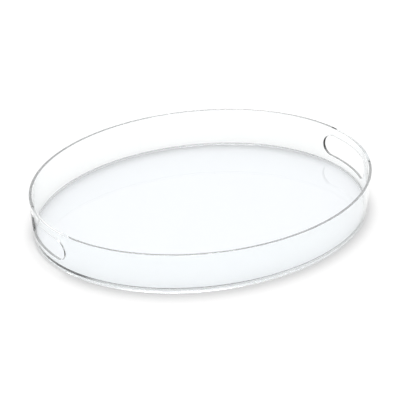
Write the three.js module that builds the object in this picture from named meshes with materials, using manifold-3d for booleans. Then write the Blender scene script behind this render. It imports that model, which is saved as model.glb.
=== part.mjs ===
// Oval vanity tray, made the way a clear acrylic tray is made on a bench:
// a floor plate cut from flat sheet, and a wall that is one strip with two hand-holds in it, bent round the
// plate and cemented to it. The wall reaches a little below the floor, so the tray stands on the wall's edge.
//
// Millimetres. +X runs along the tray's length, through both hand-holds, +Y to its back and +Z up.
// The origin is under the middle of the tray, on the surface that it stands on.

import * as THREE from 'three';
import { mergeVertices } from 'three/addons/utils/BufferGeometryUtils.js';
import Module from 'manifold-3d';

const wasm = await Module();
wasm.setup();

// Driving dimensions
const trayLength = 406;         // outside, across the rim, along X
const trayWidth = 333;          // outside, across the rim, along Y
const trayHeight = 48.5;        // rim above the surface that the tray stands on
const wallThickness = 3;        // sheet that the wall is bent from
const wallLean = 3;             // how far the wall's foot stands inside its rim
const floorThickness = 3;       // sheet that the floor is cut from
const floorRise = 2;            // the floor's underside above the wall's foot
const handHoldWidth = 90;       // straight across an opening, along Y
const handHoldHeight = 26;      // its ends are half circles of this diameter
const railHeight = 10;          // sheet left between an opening and the rim
const seamBondThickness = 0.3;  // cement between the two ends of the wall's strip
const floorBondWidth = 1.4;     // cement fillet under the floor, out from the wall
const floorBondDrop = 1.4;      // and down the wall, as far as the surface below leaves room
const gluedGap = 0.15;          // left at each face where cement meets sheet, and round the floor

// How finely the curves are cut
const ovalSides = 180;
const handHoldArcSides = 20;

// Dependent sizes
const halfLength = trayLength / 2;
const halfWidth = trayWidth / 2;
const handHoldCentre = trayHeight - railHeight - handHoldHeight / 2;
const seamSlot = seamBondThickness + 2 * gluedGap;

// Distance from the rim's outline inwards to the wall's outer face at height z.
function leanAt(z) {
  return wallLean * (1 - z / trayHeight);
}

// Distance from the rim's outline inwards to the wall's inner face at height z.
function innerFaceAt(z) {
  return leanAt(z) + wallThickness;
}

// A point of the oval that lies a constant distance inside the rim's outline: the rim's ellipse at this
// angle, moved inwards along its normal.
function ovalPoint(angle, inset) {
  const cos = Math.cos(angle);
  const sin = Math.sin(angle);
  const normal = new THREE.Vector2(halfWidth * cos, halfLength * sin).normalize();
  return new THREE.Vector2(halfLength * cos, halfWidth * sin).addScaledVector(normal, -inset);
}

// The whole oval outline at one inset, anticlockwise.
function ovalOutline(inset) {
  const points = [];
  for (let side = 0; side < ovalSides; side += 1) {
    points.push(ovalPoint((2 * Math.PI * side) / ovalSides, inset));
  }
  return points;
}

// A closed ring that follows the oval. Its section is a polygon of [inset, height] corners, listed
// anticlockwise when it is seen with inset to the left and height up.
function ovalRing(section) {
  const positions = [];
  const indices = [];
  const corners = section.length;
  for (const [inset, height] of section) {
    for (const point of ovalOutline(inset)) positions.push(point.x, point.y, height);
  }
  for (let corner = 0; corner < corners; corner += 1) {
    const here = corner * ovalSides;
    const above = ((corner + 1) % corners) * ovalSides;
    for (let side = 0; side < ovalSides; side += 1) {
      const next = (side + 1) % ovalSides;
      indices.push(here + side, here + next, above + next);
      indices.push(here + side, above + next, above + side);
    }
  }
  const geometry = new THREE.BufferGeometry();
  geometry.setAttribute('position', new THREE.Float32BufferAttribute(positions, 3));
  geometry.setIndex(indices);
  return geometry;
}

// three.js geometry to a solid that can be joined and cut.
function toSolid(geometry) {
  const bare = geometry.clone();
  bare.deleteAttribute('normal');
  bare.deleteAttribute('uv');
  const merged = mergeVertices(bare, 1e-4);
  return new wasm.Manifold(new wasm.Mesh({
    numProp: 3,
    vertProperties: new Float32Array(merged.attributes.position.array),
    triVerts: new Uint32Array(merged.index.array),
  }));
}

// A solid back to three.js geometry.
function toGeometry(solid) {
  const mesh = solid.getMesh();
  const geometry = new THREE.BufferGeometry();
  geometry.setAttribute('position', new THREE.BufferAttribute(new Float32Array(mesh.vertProperties), 3));
  geometry.setIndex(new THREE.BufferAttribute(new Uint32Array(mesh.triVerts), 1));
  geometry.computeVertexNormals();
  return geometry;
}

// The bar that opens both hand-holds: a slot with round ends, run straight through the tray along X.
function handHoldCutter() {
  const radius = handHoldHeight / 2;
  const straight = handHoldWidth / 2 - radius;
  const slot = new THREE.Shape();
  slot.absarc(straight, 0, radius, -Math.PI / 2, Math.PI / 2, false);
  slot.absarc(-straight, 0, radius, Math.PI / 2, (3 * Math.PI) / 2, false);
  const reach = trayLength + 2 * wallThickness;
  const bar = new THREE.ExtrudeGeometry(slot, {
    depth: reach,
    bevelEnabled: false,
    curveSegments: handHoldArcSides,
  });
  bar.translate(0, 0, -reach / 2);
  bar.rotateX(Math.PI / 2);
  bar.rotateZ(Math.PI / 2);
  bar.translate(0, 0, handHoldCentre);
  return bar;
}

// The slot that parts the strip's two ends, at the middle of the tray's back.
function seamCutter() {
  const reach = 2 * (wallLean + wallThickness) + 2 * wallThickness;
  const slot = new THREE.BoxGeometry(seamSlot, reach, 3 * trayHeight);
  slot.translate(0, halfWidth - reach / 2 + wallThickness, trayHeight / 2);
  return slot;
}

// The wall: a strip as tall as the tray, bent to the oval and leaning out a little, with both hand-holds.
function wallBand() {
  const ring = ovalRing([
    [leanAt(0), 0],
    [leanAt(trayHeight), trayHeight],
    [innerFaceAt(trayHeight), trayHeight],
    [innerFaceAt(0), 0],
  ]);
  const openings = toSolid(handHoldCutter());
  const seam = toSolid(seamCutter());
  return toGeometry(toSolid(ring).subtract(openings).subtract(seam));
}

// The cement that joins the strip's ends: a flat upright bar between them, as thick and as tall as the wall.
function wallSeamBond() {
  const half = seamBondThickness / 2;
  const positions = [];
  for (const height of [0, trayHeight]) {
    const outside = halfWidth - leanAt(height);
    const inside = halfWidth - innerFaceAt(height);
    positions.push(-half, inside, height, half, inside, height, half, outside, height, -half, outside, height);
  }
  const bar = new THREE.BufferGeometry();
  bar.setAttribute('position', new THREE.Float32BufferAttribute(positions, 3));
  bar.setIndex([
    0, 2, 1, 0, 3, 2, 4, 5, 6, 4, 6, 7, 0, 1, 5, 0, 5, 4,
    1, 2, 6, 1, 6, 5, 2, 3, 7, 2, 7, 6, 3, 0, 4, 3, 4, 7,
  ]);
  return bar;
}

// The floor: a flat oval plate with a straight cut edge, which fits inside the wall at its underside.
function floorPlate() {
  const outline = new THREE.Shape(ovalOutline(innerFaceAt(floorRise) + gluedGap));
  const plate = new THREE.ExtrudeGeometry(outline, { depth: floorThickness, bevelEnabled: false });
  plate.translate(0, 0, floorRise);
  return plate;
}

// The cement fillet that holds the floor: a three-cornered bead in the angle between the floor's
// underside and the wall, all the way round and clear of the surface below.
function floorBond() {
  const top = floorRise - gluedGap;
  const bottom = Math.max(top - floorBondDrop, gluedGap);
  const atWallTop = innerFaceAt(top) + gluedGap;
  const atWallBottom = innerFaceAt(bottom) + gluedGap;
  return ovalRing([
    [atWallBottom, bottom],
    [atWallTop, top],
    [atWallTop + floorBondWidth, top],
  ]);
}

const clearSheet = { color: 0xf7fbfc, roughness: 0.04, metalness: 0, transparent: true, opacity: 0.25 };
const clearCement = { color: 0xf2f7f8, roughness: 0.12, metalness: 0, transparent: true, opacity: 0.3 };

function piece(name, geometry, finish) {
  const mesh = new THREE.Mesh(geometry, new THREE.MeshStandardMaterial(finish));
  mesh.name = name;
  return mesh;
}

const tray = new THREE.Group();
tray.add(piece('wall_band', wallBand(), clearSheet));
tray.add(piece('wall_seam_bond', wallSeamBond(), clearCement));
tray.add(piece('floor_plate', floorPlate(), clearSheet));
tray.add(piece('floor_bond', floorBond(), clearCement));

export default tray;
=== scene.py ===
"""Looks for a clear acrylic oval vanity tray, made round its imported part.

Metres. +X runs along the tray's length, through both hand-holds, +Y to its back and +Z up. The origin is
under the middle of the tray, on the surface that it stands on.

The part's faceted solids give every size. Each is stood for by a smooth piece of the same shape: the bent
wall, the flat floor, the cement in the wall's seam and the cement fillet under the floor.
"""

import math
from collections import namedtuple

import bmesh
import bpy
import numpy as np
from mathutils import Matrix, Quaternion, Vector


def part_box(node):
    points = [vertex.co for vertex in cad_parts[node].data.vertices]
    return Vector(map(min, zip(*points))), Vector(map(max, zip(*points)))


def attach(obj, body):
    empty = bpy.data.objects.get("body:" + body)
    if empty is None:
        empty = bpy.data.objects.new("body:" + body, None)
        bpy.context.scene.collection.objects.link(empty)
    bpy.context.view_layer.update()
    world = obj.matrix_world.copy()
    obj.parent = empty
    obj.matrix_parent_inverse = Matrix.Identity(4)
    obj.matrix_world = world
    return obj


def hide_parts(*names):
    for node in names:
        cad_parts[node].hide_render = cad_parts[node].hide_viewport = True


MM = 0.001

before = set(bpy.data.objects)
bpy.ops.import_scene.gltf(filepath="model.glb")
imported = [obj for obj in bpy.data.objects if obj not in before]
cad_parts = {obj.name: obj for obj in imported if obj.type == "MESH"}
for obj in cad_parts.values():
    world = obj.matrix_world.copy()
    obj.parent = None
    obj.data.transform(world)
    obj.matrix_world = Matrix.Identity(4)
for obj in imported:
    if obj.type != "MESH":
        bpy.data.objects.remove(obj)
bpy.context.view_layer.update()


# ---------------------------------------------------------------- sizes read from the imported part

TOUCHING = 0.02 * MM  # closer than this counts as the same place


def cad_points(node):
    """Every corner of a CAD node, one row of x, y, z each."""
    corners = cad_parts[node].data.vertices
    points = np.empty(3 * len(corners))
    corners.foreach_get("co", points)
    return points.reshape(-1, 3)


def near(values, place):
    """True for each value that is at this place."""
    return np.abs(values - place) < TOUCHING


WALL = cad_points("wall_band")
HALF_LENGTH, HALF_WIDTH, HEIGHT = WALL.max(axis=0)
RIM = WALL[near(WALL[:, 2], HEIGHT)]
FOOT = WALL[near(WALL[:, 2], 0)]
LEAN = HALF_LENGTH - FOOT[:, 0].max()  # how far the foot stands inside the rim
THICKNESS = np.ptp(RIM[near(RIM[:, 1], 0) & (RIM[:, 0] > 0), 0])
SEAM_HALF_GAP = np.abs(RIM[RIM[:, 1] > HALF_WIDTH / 2, 0]).min()

# Only a hand-hold's edge has corners between the foot and the rim
HOLD = WALL[(WALL[:, 0] > HALF_LENGTH / 2) & (WALL[:, 2] > TOUCHING) & (WALL[:, 2] < HEIGHT - TOUCHING)]
HOLD_RADIUS = np.ptp(HOLD[:, 2]) / 2
HOLD_CENTRE = HOLD[:, 2].min() + HOLD_RADIUS
HOLD_STRAIGHT = HOLD[:, 1].max() - HOLD_RADIUS  # half of the straight run between its round ends

FLOOR_LOW, FLOOR_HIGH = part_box("floor_plate")
SEAM_LOW, SEAM_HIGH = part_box("wall_seam_bond")
BEAD = cad_points("floor_bond")
BEAD_LOW, BEAD_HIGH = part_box("floor_bond")


# ---------------------------------------------------------------- how finely the surfaces are made

EDGE_RADIUS = 0.3 * MM  # polished edges of the sheet
EDGE_STEPS = 4
EDGE_BORDER = 0.25 * MM  # a narrow row beside each rounded edge, which keeps the flat beside it flat
EDGE_MARGIN = EDGE_RADIUS + EDGE_BORDER  # how far both together reach in from the cut face
END_REACH = HOLD_STRAIGHT + 2.3 * HOLD_RADIUS  # half the width of the stretch that holds a hand-hold
END_COLUMNS = 84
SIDE_COLUMNS = 280  # the whole front
BACK_COLUMNS = SIDE_COLUMNS // 2  # the back, on each side of the seam
FACE_ROWS = 12
HOLD_RINGS = 9
RING_COLUMNS = 720  # round the floor plate and its cement
FLOOR_RINGS = 16
BEAD_ROWS = 9  # across the free side of the floor's cement
SEAM_ROWS = 96
SEAM_COLUMNS = 7
SETTLING_STEPS = 10  # enough for an angle on the oval to stop changing
WELD = 0.001 * MM  # border points closer than this become one
HAIR = 0.002 * MM  # keeps the sides of the seam's cement off the sheet
CREASE_ANGLE = math.radians(35)

# How far cement is drawn in where its surface is free: a least share, a further share that comes and goes
# slowly, and how quickly that one comes and goes
BEAD_DRAW = 0.25
BEAD_DRAW_MORE = 0.35
BEAD_WAVES = 9
SEAM_HOLLOW = 0.1
SEAM_HOLLOW_MORE = 0.2
SEAM_WAVES = 14


# ---------------------------------------------------------------- the oval

def oval_normal(angle):
    """The outward normal of the rim's ellipse at this angle, as x and y."""
    x = HALF_WIDTH * np.cos(angle)
    y = HALF_LENGTH * np.sin(angle)
    size = np.hypot(x, y)
    return x / size, y / size


def oval_point(angle, inset):
    """The rim's ellipse at this angle, moved inwards along its normal by inset, as x and y."""
    normal_x, normal_y = oval_normal(angle)
    return (
        HALF_LENGTH * np.cos(angle) - inset * normal_x,
        HALF_WIDTH * np.sin(angle) - inset * normal_y,
    )


def angle_at_y(y, inset):
    """The angle, between -90 and 90 degrees, where the inset oval passes this y.
    The sine of the angle is (y + inset times the normal's y) / half the width, put back into itself until it
    settles, because the normal depends on the angle."""
    angle = np.arcsin(y / HALF_WIDTH) + 0 * inset
    for _ in range(SETTLING_STEPS):
        angle = np.arcsin((y + inset * oval_normal(angle)[1]) / HALF_WIDTH)
    return angle


def angle_at_x(x, inset):
    """The angle, between 0 and 180 degrees, where the inset oval passes this x, solved as in angle_at_y."""
    angle = np.arccos(x / HALF_LENGTH) + 0 * inset
    for _ in range(SETTLING_STEPS):
        angle = np.arccos((x + inset * oval_normal(angle)[0]) / HALF_LENGTH)
    return angle


# ---------------------------------------------------------------- meshes

def sheet_edge():
    """Section of a sheet's edge with both corners rounded, from one face round to the other.
    Returns depth, which runs from 0 on one face to the sheet's thickness on the other, and height, which is
    measured out from the cut face and so is 0 there and negative on the faces."""
    turn = np.linspace(0, math.pi / 2, EDGE_STEPS + 1)
    corner_depth = EDGE_RADIUS * (1 - np.cos(turn))
    corner_height = -EDGE_RADIUS * (1 - np.sin(turn))
    depth = np.concatenate([[0], corner_depth, [EDGE_MARGIN]])
    height = np.concatenate([[-EDGE_MARGIN], corner_height, [0]])
    return (
        np.concatenate([depth, (THICKNESS - depth)[::-1]]),
        np.concatenate([height, height[::-1]]),
    )


def grid_faces(rows, columns, first, closed=False):
    """The four corners of each face of a grid whose points are numbered row by row from first.
    A closed grid's last column joins its first."""
    row = np.arange(rows - 1)[:, None]
    column = np.arange(columns if closed else columns - 1)[None, :]
    beside = (column + 1) % columns
    here = first + row * columns
    corners = [here + column, here + beside, here + columns + beside, here + columns + column]
    return np.stack(corners, axis=-1).reshape(-1, 4)


# One surface of a piece: a grid of points with shape rows, columns, 3, or a ring of points that is one flat
# face; how much each point belongs to a cut edge, from 0 to 1; whether the grid's last column joins its
# first; and whether the surface is one that cement wets.
Surface = namedtuple("Surface", "points cut closed glued", defaults=(0.0, False, False))


def add_piece(name, surfaces):
    """A closed mesh object from surfaces that meet at their borders. Border points that coincide are welded,
    the faces are turned outwards and creases over the crease angle stay sharp. Faces that cement wets take
    the second material."""
    points = []
    cuts = []
    faces = []
    glued = []
    first = 0
    for surface in surfaces:
        shape = surface.points.shape[:-1]
        size = math.prod(shape)
        if len(shape) == 1:
            made = [list(range(first, first + size))]
        else:
            made = grid_faces(*shape, first, surface.closed).tolist()
        points.append(surface.points.reshape(-1, 3))
        cuts.append(np.broadcast_to(surface.cut, shape).ravel())
        faces += made
        glued += [surface.glued] * len(made)
        first += size
    mesh = bpy.data.meshes.new(name)
    mesh.from_pydata(np.concatenate(points), [], faces)
    mesh.polygons.foreach_set("material_index", np.array(glued, np.int32))
    cut = mesh.attributes.new("cut_edge", "FLOAT", "POINT")
    cut.data.foreach_set("value", np.concatenate(cuts).astype(np.float32))
    work = bmesh.new()
    work.from_mesh(mesh)
    bmesh.ops.remove_doubles(work, verts=work.verts, dist=WELD)
    bmesh.ops.recalc_face_normals(work, faces=work.faces)
    work.to_mesh(mesh)
    work.free()
    mesh.shade_smooth()
    mesh.set_sharp_from_angle(angle=CREASE_ANGLE)
    piece = bpy.data.objects.new(name, mesh)
    bpy.context.scene.collection.objects.link(piece)
    return piece


def cut_weight(depth):
    """How much of a point belongs to a cut edge of the sheet: 0 on its faces, 1 past the rounding."""
    return np.clip(np.minimum(depth, THICKNESS - depth) / EDGE_RADIUS, 0, 1)


def lean_at(z):
    """How far inside the rim's outline the wall's outer face stands at height z."""
    return LEAN * (1 - z / HEIGHT)


def face_heights():
    """Heights of the rows of the wall's faces, even between its two rounded edges."""
    return np.linspace(EDGE_MARGIN, HEIGHT - EDGE_MARGIN, FACE_ROWS + 1)


def column_angles(inset):
    """The angle of each upright column of the wall at each inset, one row an inset, anticlockwise from the
    seam. Over a hand-hold the columns are even in y, and between the hand-holds even in angle."""
    inset = inset[:, None]
    corner = angle_at_y(END_REACH, inset)
    seam = angle_at_x(SEAM_HALF_GAP, inset)
    end = angle_at_y(np.linspace(-END_REACH, END_REACH, END_COLUMNS + 1)[None, :], inset)
    half = np.linspace(0, 1, BACK_COLUMNS + 1)[None, 1:]
    whole = np.linspace(0, 1, SIDE_COLUMNS + 1)[None, 1:]
    half_turn = math.pi
    stretches = [
        half_turn - seam,
        half_turn - seam + half * (seam - corner),
        half_turn - end[:, ::-1][:, 1:],
        half_turn + corner + whole * (half_turn - 2 * corner),
        2 * half_turn + end[:, 1:],
        2 * half_turn + corner + half * (seam - corner),
    ]
    return np.concatenate(stretches, axis=1)


def wall_columns(depth, z, columns=slice(None)):
    """Points of the wall at each depth and height of a section, one row each, along the chosen columns."""
    inset = lean_at(z) + depth
    angle = column_angles(inset)[:, columns]
    x, y = oval_point(angle, inset[:, None])
    return np.stack([x, y, np.broadcast_to(z[:, None], x.shape)], axis=-1)


def hold_patch(side):
    """The stretch of wall round a hand-hold, on the side +1 or -1 of the tray, as one closed grid.
    Its rings run from a rectangle on the outer face in to the opening's outline, through the wall with both
    edges rounded, and out to the same rectangle on the inner face. A ring's points lie on straight lines, in
    y and z, from each point of the rectangle to the nearest point of the slot's middle line."""
    across = np.linspace(-END_REACH, END_REACH, END_COLUMNS + 1)
    up = face_heights()
    right_side = np.full(FACE_ROWS, END_REACH)
    bottom = np.full(END_COLUMNS, up[0])
    top = np.full(END_COLUMNS, up[-1])
    y = np.concatenate([across[:-1], right_side, across[:0:-1], -right_side])
    z = np.concatenate([bottom, up[:-1], top, up[:0:-1]])
    middle = np.clip(y, -HOLD_STRAIGHT, HOLD_STRAIGHT)
    reach = np.hypot(y - middle, z - HOLD_CENTRE)
    out_y = (y - middle) / reach
    out_z = (z - HOLD_CENTRE) / reach

    edge_depth, edge_height = sheet_edge()
    face_height = np.full(HOLD_RINGS, -EDGE_MARGIN)
    face_share = np.linspace(0, 1, HOLD_RINGS + 1)[1:]
    depth = np.concatenate([np.zeros(HOLD_RINGS), edge_depth, np.full(HOLD_RINGS, THICKNESS)])
    start = HOLD_RADIUS - np.concatenate([face_height, edge_height, face_height])
    share = np.concatenate([face_share[::-1], np.zeros(len(edge_depth)), face_share])
    away = start[:, None] + share[:, None] * (reach - start[:, None])
    ring_y = middle + away * out_y
    ring_z = HOLD_CENTRE + away * out_z
    inset = lean_at(ring_z) + depth[:, None]
    x, ring_y = oval_point(angle_at_y(ring_y, inset), inset)
    points = np.stack([side * x, ring_y, ring_z], axis=-1)
    return Surface(points, cut_weight(depth)[:, None], closed=True)


def make_wall():
    """The bent strip: rim and foot ribbons all the way round, faces between the hand-holds, a patch round
    each hand-hold and a flat cap on each end of the strip, at the seam."""
    depth, height = sheet_edge()
    rows = face_heights()
    front_start = BACK_COLUMNS + END_COLUMNS
    front_end = front_start + SIDE_COLUMNS
    between_holds = (
        slice(0, BACK_COLUMNS + 1),
        slice(front_start, front_end + 1),
        slice(front_end + END_COLUMNS, None),
    )
    surfaces = [
        Surface(wall_columns(depth, HEIGHT + height), cut_weight(depth)[:, None]),
        Surface(wall_columns(depth, -height), cut_weight(depth)[:, None]),
        hold_patch(1),
        hold_patch(-1),
    ]
    for face in (0, THICKNESS):
        for columns in between_holds:
            surfaces.append(Surface(wall_columns(np.full(len(rows), face), rows, columns)))
    inner_face = np.full(FACE_ROWS - 1, THICKNESS)
    outer_face = np.zeros(FACE_ROWS - 1)
    section_depth = np.concatenate([depth, inner_face, depth[::-1], outer_face])
    section_z = np.concatenate([HEIGHT + height, rows[-2:0:-1], -height, rows[1:-1]])
    section = wall_columns(section_depth, section_z)
    surfaces += [Surface(section[:, 0], glued=True), Surface(section[:, -1], glued=True)]
    return add_piece("clear_wall", surfaces)


def ring_angles():
    """The angle of each column of a piece that runs all the way round, as one row."""
    return np.linspace(0, 2 * math.pi, RING_COLUMNS, endpoint=False)[None, :]


def make_floor():
    """The floor plate: rings from the middle of its top out to its edge, round the edge and back to the
    middle of its underside. A ring is the plate's outline scaled about the middle, and the rings of the
    rounded edge are the outline moved inwards."""
    depth, height = sheet_edge()
    outline_inset = HALF_LENGTH - FLOOR_HIGH.x
    angle = ring_angles()
    edge_z = FLOOR_HIGH.z - depth * (FLOOR_HIGH.z - FLOOR_LOW.z) / THICKNESS
    edge_x, edge_y = oval_point(angle, (outline_inset - height)[:, None])
    edge = np.stack([edge_x, edge_y, np.broadcast_to(edge_z[:, None], edge_x.shape)], axis=-1)
    share = np.linspace(0, 1, FLOOR_RINGS, endpoint=False)[:, None, None]
    level = np.array([1.0, 1.0, 0.0])
    scale = share * level + (1 - level)  # x and y shrink towards the middle and z stays
    top = edge[0] * scale
    underside = (edge[-1] * scale)[::-1]
    points = np.concatenate([top, edge, underside])
    cut = np.concatenate([np.zeros(FLOOR_RINGS), cut_weight(depth), np.zeros(FLOOR_RINGS)])
    return add_piece("clear_floor", [Surface(points, cut[:, None], closed=True)])


def uneven(along, turns):
    """A slow unevenness between 0 and 1 along a run: a half, and a sixth of the sum of three sine waves whose
    turns are as 1 to 2.3 to 4.1, so that they don't repeat together."""
    waves = np.sin(turns * along) + np.sin(2.3 * turns * along + 1.1) + np.sin(4.1 * turns * along + 2.7)
    return 0.5 + waves / 6


def make_floor_bead():
    """The cement fillet under the floor: a ring whose section has one side against the wall, one against the
    floor's underside and a hollow free side. That side is drawn in towards the corner by a parabola across
    it, which at the middle is half of the draw at that angle."""
    at_top = BEAD[near(BEAD[:, 2], BEAD_HIGH.z) & near(BEAD[:, 1], 0) & (BEAD[:, 0] > 0), 0]
    wall_top_inset = HALF_LENGTH - at_top.max()
    free_inset = HALF_LENGTH - at_top.min()
    wall_low_inset = wall_top_inset + lean_at(BEAD_LOW.z) - lean_at(BEAD_HIGH.z)
    angle = ring_angles()
    draw = BEAD_DRAW + BEAD_DRAW_MORE * uneven(angle, BEAD_WAVES)
    along = np.linspace(0, 1, BEAD_ROWS)[:, None]
    straight_inset = free_inset + along * (wall_low_inset - free_inset)
    straight_z = BEAD_HIGH.z + along * (BEAD_LOW.z - BEAD_HIGH.z)
    pull = draw * 2 * along * (1 - along)
    inset = straight_inset + pull * (wall_top_inset - straight_inset)
    z = straight_z + pull * (BEAD_HIGH.z - straight_z)
    corner_inset = np.full((1, RING_COLUMNS), wall_top_inset)
    corner_z = np.full((1, RING_COLUMNS), BEAD_HIGH.z)
    inset = np.concatenate([corner_inset, inset, corner_inset])
    z = np.concatenate([corner_z, z, corner_z])
    x, y = oval_point(angle, inset)
    return add_piece("floor_cement", [Surface(np.stack([x, y, z], axis=-1), closed=True)])


def make_seam_bar():
    """The cement in the wall's seam: an upright bar as thick as the wall, whose outer and inner faces are
    hollowed by a parabola, 1 - across squared, times half the joint's width, times a share that comes and
    goes with height. It fills the joint, but for a hair that keeps its sides off the sheet."""
    z = np.linspace(SEAM_LOW.z, SEAM_HIGH.z, SEAM_ROWS)[:, None]
    across = np.linspace(-1, 1, SEAM_COLUMNS)[None, :]
    half = SEAM_HALF_GAP - HAIR
    share = SEAM_HOLLOW + SEAM_HOLLOW_MORE * uneven(z / HEIGHT, SEAM_WAVES)
    hollow = half * share * (1 - across**2)
    x = across * half + 0 * z
    outside = HALF_WIDTH - lean_at(z) - hollow
    inside = HALF_WIDTH - lean_at(z) - THICKNESS + hollow
    height = np.broadcast_to(z, x.shape)
    outer = np.stack([x, outside, height], axis=-1)
    inner = np.stack([x, inside, height], axis=-1)
    surfaces = [Surface(outer), Surface(inner)]
    for side in (0, -1):
        surfaces.append(Surface(np.stack([outer[:, side], inner[:, side]], axis=1), glued=True))
    for end in (0, -1):
        surfaces.append(Surface(np.concatenate([outer[end], inner[end, ::-1]])))
    return add_piece("seam_cement", surfaces)


# ---------------------------------------------------------------- materials

# Patterns on the sheet, as how often they repeat in a metre along X, Y and Z
HAIRLINES = (60, 900, 60)
SAW_MARKS = (2600, 2600, 120)
SCRATCH_FROM = 0.66  # of the hairline pattern, above which a scratch begins
SCRATCH_FULL = 0.74  # and is as deep as it gets

# Roughness of the sheet: its polish, and what a scratch and a cut edge add
SHEET_POLISH = 0.015
SCRATCH_DULLING = 0.05
CUT_DULLING = 0.08
SCRATCH_HEIGHT = 0.1  # beside a saw mark's height of 1

# Roughness of set cement: its clearest, and what a cloudy patch adds
CEMENT_POLISH = 0.06
CLOUD_DULLING = 0.12
BUBBLE_HEIGHT = 0.3  # beside a cloudy patch's height of 1
BUBBLE_CORE = 0.12  # out to here a bubble is at full height, as a share of the spacing between bubbles
BUBBLE_END = 0.2  # and here it ends


class Wire:
    """A value that runs between shader nodes. Arithmetic on it adds Math nodes."""

    def __init__(self, nodes, socket):
        self.nodes = nodes
        self.socket = socket

    def math(self, operation, first, second):
        """What one Math node makes of two values."""
        return self.nodes.add("Math", {"operation": operation}, {0: first, 1: second})

    def __add__(self, other):
        return self.math("ADD", self, other)

    __radd__ = __add__

    def __sub__(self, other):
        return self.math("SUBTRACT", self, other)

    def __rsub__(self, other):
        return self.math("SUBTRACT", other, self)

    def __mul__(self, other):
        return self.math("MULTIPLY", self, other)

    __rmul__ = __mul__


class Nodes:
    """A node tree that is filled by one method."""

    def __init__(self, owner):
        owner.use_nodes = True
        self.tree = owner.node_tree
        self.tree.nodes.clear()

    def add(self, kind, settings, inputs, output=0):
        """Adds a node of this kind. Its settings are set first, then each input, by name or number, to a
        value or a Wire. Returns one output as a Wire."""
        node = self.tree.nodes.new("ShaderNode" + kind)
        for name, value in settings.items():
            setattr(node, name, value)
        for name, value in inputs.items():
            if isinstance(value, Wire):
                self.tree.links.new(value.socket, node.inputs[name])
            else:
                node.inputs[name].default_value = value
        return Wire(self, node.outputs[output] if len(node.outputs) else None)


def object_place(nodes, scale=(1, 1, 1)):
    """Object coordinates, in metres, stretched by scale."""
    place = nodes.add("TexCoord", {}, {}, "Object")
    return nodes.add("Mapping", {}, {"Vector": place, "Scale": scale})


def step_between(nodes, value, low, high):
    """0 below low, 1 above high and a smooth rise between."""
    return nodes.add(
        "MapRange",
        {"interpolation_type": "SMOOTHSTEP"},
        {"Value": value, "From Min": low, "From Max": high},
    )


def pass_soft_light(nodes, glass, tint, loss):
    """Glass as the camera meets it, but plainly clear to lamps and to light that a matt surface gathers, so
    that the table is lit through the tray. Such light isn't bent. It takes the tint, and the loss, from 0 to
    1, is the share of it that is held back."""
    clear = nodes.add("BsdfTransparent", {}, {"Color": tint})
    held_back = nodes.add("BsdfTransparent", {}, {"Color": (0, 0, 0, 1)})
    clear = nodes.add("MixShader", {}, {0: loss, 1: clear, 2: held_back})
    for ray in ("Is Diffuse Ray", "Is Shadow Ray"):
        path = nodes.add("LightPath", {}, {}, ray)
        glass = nodes.add("MixShader", {}, {0: path, 1: glass, 2: clear})
    return glass


def glued_face():
    """A face of the sheet that cement has wetted: light goes straight on, so the joint hardly shows."""
    material = bpy.data.materials.new("wetted_joint")
    nodes = Nodes(material)
    clear = nodes.add("BsdfTransparent", {}, {"Color": (0.99, 0.99, 0.99, 1)})
    nodes.add("OutputMaterial", {}, {"Surface": clear})
    return material


def clear_acrylic(name, tint, soft_light_tint, edge_loss, grazing_loss):
    """Cast acrylic sheet. Its faces wave very slightly, as bent sheet does, and carry fine hairline
    scratches. Its cut edges are flame-polished over faint upright saw marks. Light from a lamp, and light
    that a matt surface gathers, is held back in two shares: at a cut edge by the edge loss, and anywhere by
    the grazing loss times the cube of 1 - the cosine of the angle at which it meets the sheet."""
    material = bpy.data.materials.new(name)
    nodes = Nodes(material)
    cut = nodes.add("Attribute", {"attribute_name": "cut_edge"}, {}, "Fac")
    place = object_place(nodes)
    wave = nodes.add("TexNoise", {}, {"Vector": place, "Scale": 22.0, "Detail": 1.0})
    hairline_place = object_place(nodes, HAIRLINES)
    hairline = nodes.add("TexNoise", {}, {"Vector": hairline_place, "Scale": 1.0, "Detail": 3.0})
    scratch = step_between(nodes, hairline, SCRATCH_FROM, SCRATCH_FULL)
    saw_place = object_place(nodes, SAW_MARKS)
    saw = nodes.add("TexNoise", {}, {"Vector": saw_place, "Scale": 1.0, "Detail": 2.0})
    faces = nodes.add("Bump", {}, {"Strength": 0.25, "Distance": 0.0002, "Height": wave})
    height = scratch * (1 - cut) * SCRATCH_HEIGHT + saw * cut
    marks = {"Strength": 0.12, "Distance": 0.00005, "Height": height, "Normal": faces}
    normal = nodes.add("Bump", {}, marks)
    glass = nodes.add(
        "BsdfPrincipled",
        {},
        {
            "Base Color": tint,
            "Roughness": SHEET_POLISH + scratch * SCRATCH_DULLING + cut * CUT_DULLING,
            "IOR": 1.49,
            "Transmission Weight": 1.0,
            "Normal": normal,
        },
    )
    facing = nodes.add("LayerWeight", {}, {"Blend": 0.5}, "Facing")
    kept = (1 - cut * edge_loss) * (1 - facing * facing * facing * grazing_loss)
    glass = pass_soft_light(nodes, glass, soft_light_tint, 1 - kept)
    nodes.add("OutputMaterial", {}, {"Surface": glass})
    return material


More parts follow.
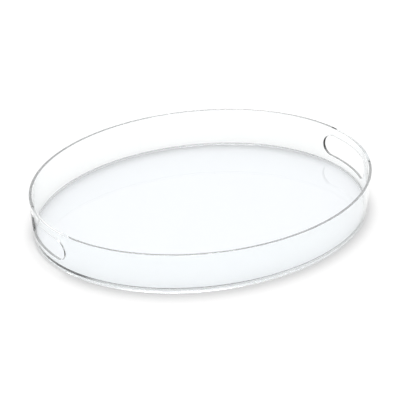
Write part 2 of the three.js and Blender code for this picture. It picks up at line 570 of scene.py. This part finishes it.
def set_cement(name, tint):
    """Acrylic cement, set hard: clear, a little cloudy in patches and specked with tiny bubbles."""
    material = bpy.data.materials.new(name)
    nodes = Nodes(material)
    place = object_place(nodes)
    cloud = nodes.add("TexNoise", {}, {"Vector": place, "Scale": 180.0, "Detail": 3.0})
    bubble = nodes.add("TexVoronoi", {}, {"Vector": place, "Scale": 2200.0}, "Distance")
    bubble = 1 - step_between(nodes, bubble, BUBBLE_CORE, BUBBLE_END)
    height = cloud + bubble * BUBBLE_HEIGHT
    normal = nodes.add("Bump", {}, {"Strength": 0.3, "Distance": 0.0001, "Height": height})
    glass = nodes.add(
        "BsdfPrincipled",
        {},
        {
            "Base Color": tint,
            "Roughness": CEMENT_POLISH + cloud * CLOUD_DULLING,
            "IOR": 1.48,
            "Transmission Weight": 1.0,
            "Normal": normal,
        },
    )
    glass = pass_soft_light(nodes, glass, tint=(0.99, 0.99, 0.99, 1), loss=0.0)
    nodes.add("OutputMaterial", {}, {"Surface": glass})
    return material


def pale_floor():
    """Matt white studio table."""
    material = bpy.data.materials.new("studio_white")
    nodes = Nodes(material)
    place = object_place(nodes)
    grain = nodes.add("TexNoise", {}, {"Vector": place, "Scale": 400.0, "Detail": 2.0})
    normal = nodes.add("Bump", {}, {"Strength": 0.05, "Distance": 0.0001, "Height": grain})
    matt = nodes.add(
        "BsdfPrincipled",
        {},
        {
            "Base Color": (0.9, 0.9, 0.9, 1),
            "Roughness": 0.6,
            "Specular IOR Level": 0.2,
            "Normal": normal,
        },
    )
    nodes.add("OutputMaterial", {}, {"Surface": matt})
    return material


# ---------------------------------------------------------------- the tray

def place_pieces():
    """Makes the four pieces, dresses them and puts each in place of its CAD solid."""
    wall_sheet = clear_acrylic(
        "clear_wall_sheet",
        tint=(0.965, 0.98, 0.98, 1),
        soft_light_tint=(0.95, 0.95, 0.95, 1),
        edge_loss=0.3,
        grazing_loss=1.0,
    )
    floor_sheet = clear_acrylic(
        "clear_floor_sheet",
        tint=(0.985, 0.993, 1.0, 1),
        soft_light_tint=(0.96, 0.97, 0.98, 1),
        edge_loss=0.0,
        grazing_loss=0.0,
    )
    cement = set_cement("clear_cement", (0.98, 0.985, 0.99, 1))
    wetted = glued_face()
    rows = [
        (make_wall(), "wall_band", "clear_sheet", wall_sheet),
        (make_floor(), "floor_plate", "clear_sheet", floor_sheet),
        (make_seam_bar(), "wall_seam_bond", "clear_cement", cement),
        (make_floor_bead(), "floor_bond", "clear_cement", cement),
    ]
    for piece, node, slot, material in rows:
        piece.data.materials.append(material)
        piece.data.materials.append(wetted)
        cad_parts[node].data.materials.clear()
        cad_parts[node].data.materials.append(material)
        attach(piece, "root")
        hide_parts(node)


# ---------------------------------------------------------------- studio

TABLE_GAP = 0.05 * MM  # keeps the table's surface apart from the tray's foot
CAMERA_AZIMUTH = -28.0  # degrees from square on to the front, and less than 0 to its left
CAMERA_ELEVATION = 29.18  # degrees above the table
CAMERA_DISTANCE = 1.920  # metres from the point that it looks at
CAMERA_ROLL = -0.23  # degrees
CAMERA_LENS = 150.0  # focal length in millimetres
CAMERA_SIDE = -2.93 * MM  # how far right of the tray's middle, as the camera sees it, that point is
CAMERA_AIM_HEIGHT = 17.56 * MM  # and how high

TABLE_RINGS = np.array([0.0, 0.5, 2.0, 8.0])[:, None]  # radii, in metres
TABLE_SIDES = 96

# The studio's white walls and ceiling. Heights are the upward part of a direction of length 1
SKY_LOW = 0.62  # strength at table height
SKY_HIGH = 0.9  # strength overhead
SKY_HIGH_FROM = 0.8  # the height above which it is as bright as it gets
BACKDROP = 1.1  # strength of what the camera sees behind the table

CARD_SIDE = (-0.95, -0.3, 0.0)  # where the dark card stands, as seen from the tray
CARD_BEGINS = 0.45  # the part of a direction that points at the card, where the card starts to show
CARD_FULL = 0.8  # and where it shows in full
CARD_TOP = 0.35  # the height above which it fades
CARD_GONE = 0.6  # and above which it is gone
CARD_DEPTH = 0.65  # share of the light that it takes away

LAMP_FROM = Vector((0.1, 0.22, 1.0))  # where the lamp is, as seen from the tray
LAMP_STRENGTH = 1.28
LAMP_SPREAD = 24  # degrees across

LIGHT_BOUNCES = 48  # how many faces of the sheet a ray may pass or glance off


def studio_camera():
    """A long lens that looks down at the tray's front from its left."""
    azimuth = math.radians(CAMERA_AZIMUTH)
    elevation = math.radians(CAMERA_ELEVATION)
    back = Vector(
        (
            math.sin(azimuth) * math.cos(elevation),
            -math.cos(azimuth) * math.cos(elevation),
            math.sin(elevation),
        )
    )
    right = Vector((math.cos(azimuth), math.sin(azimuth), 0))
    aim = right * CAMERA_SIDE + Vector((0, 0, CAMERA_AIM_HEIGHT))
    data = bpy.data.cameras.new("studio_camera")
    data.lens = CAMERA_LENS
    data.clip_start = 0.05
    data.clip_end = 50
    camera = bpy.data.objects.new("studio_camera", data)
    camera.rotation_mode = "QUATERNION"
    camera.location = aim + back * CAMERA_DISTANCE
    turn = Quaternion((0, 0, 1), math.radians(CAMERA_ROLL))
    camera.rotation_quaternion = (-back).to_track_quat("-Z", "Y") @ turn
    bpy.context.scene.collection.objects.link(camera)
    bpy.context.scene.camera = camera


def studio_floor():
    """A round table top, whose rings are circles about the tray's middle, a hair below the tray's foot."""
    angle = np.linspace(0, 2 * math.pi, TABLE_SIDES, endpoint=False)[None, :]
    x = TABLE_RINGS * np.cos(angle)
    y = TABLE_RINGS * np.sin(angle)
    points = np.stack([x, y, np.full(x.shape, -TABLE_GAP)], axis=-1)
    faces = grid_faces(len(TABLE_RINGS), TABLE_SIDES, 0, closed=True)
    mesh = bpy.data.meshes.new("studio_floor")
    mesh.from_pydata(points.reshape(-1, 3), [], faces.tolist())
    floor = bpy.data.objects.new("studio_floor", mesh)
    mesh.materials.append(pale_floor())
    bpy.context.scene.collection.objects.link(floor)


def studio_light():
    """White all round and brightest overhead, with a dark card low down on the left, which draws the clear
    edges there, and one soft lamp high up behind."""
    world = bpy.data.worlds.new("studio")
    bpy.context.scene.world = world
    nodes = Nodes(world)
    direction = nodes.add("TexCoord", {}, {}, "Generated")
    height = nodes.add("SeparateXYZ", {}, {"Vector": direction}, "Z")
    glow = step_between(nodes, height, 0.0, SKY_HIGH_FROM)
    dot_product = {"operation": "DOT_PRODUCT"}
    towards_card = nodes.add("VectorMath", dot_product, {0: direction, 1: CARD_SIDE}, "Value")
    beside_card = step_between(nodes, towards_card, CARD_BEGINS, CARD_FULL)
    above_card = step_between(nodes, height, CARD_TOP, CARD_GONE)
    card = beside_card * (1 - above_card)
    seen = nodes.add("LightPath", {}, {}, "Is Camera Ray")
    strength = (SKY_LOW + glow * (SKY_HIGH - SKY_LOW)) * (1 - CARD_DEPTH * card)
    strength = strength * (1 - seen) + seen * BACKDROP
    background = nodes.add("Background", {}, {"Color": (1, 1, 1, 1), "Strength": strength})
    nodes.add("OutputWorld", {}, {"Surface": background})

    lamp = bpy.data.lights.new("soft_lamp", "SUN")
    lamp.energy = LAMP_STRENGTH
    lamp.angle = math.radians(LAMP_SPREAD)
    lamp_object = bpy.data.objects.new("soft_lamp", lamp)
    lamp_object.rotation_mode = "QUATERNION"
    lamp_object.rotation_quaternion = LAMP_FROM.to_track_quat("Z", "Y")
    bpy.context.scene.collection.objects.link(lamp_object)


place_pieces()
studio_floor()
studio_light()
studio_camera()
scene = bpy.context.scene
scene.view_settings.view_transform = "Standard"
scene.cycles.max_bounces = LIGHT_BOUNCES
scene.cycles.glossy_bounces = LIGHT_BOUNCES
scene.cycles.transmission_bounces = LIGHT_BOUNCES
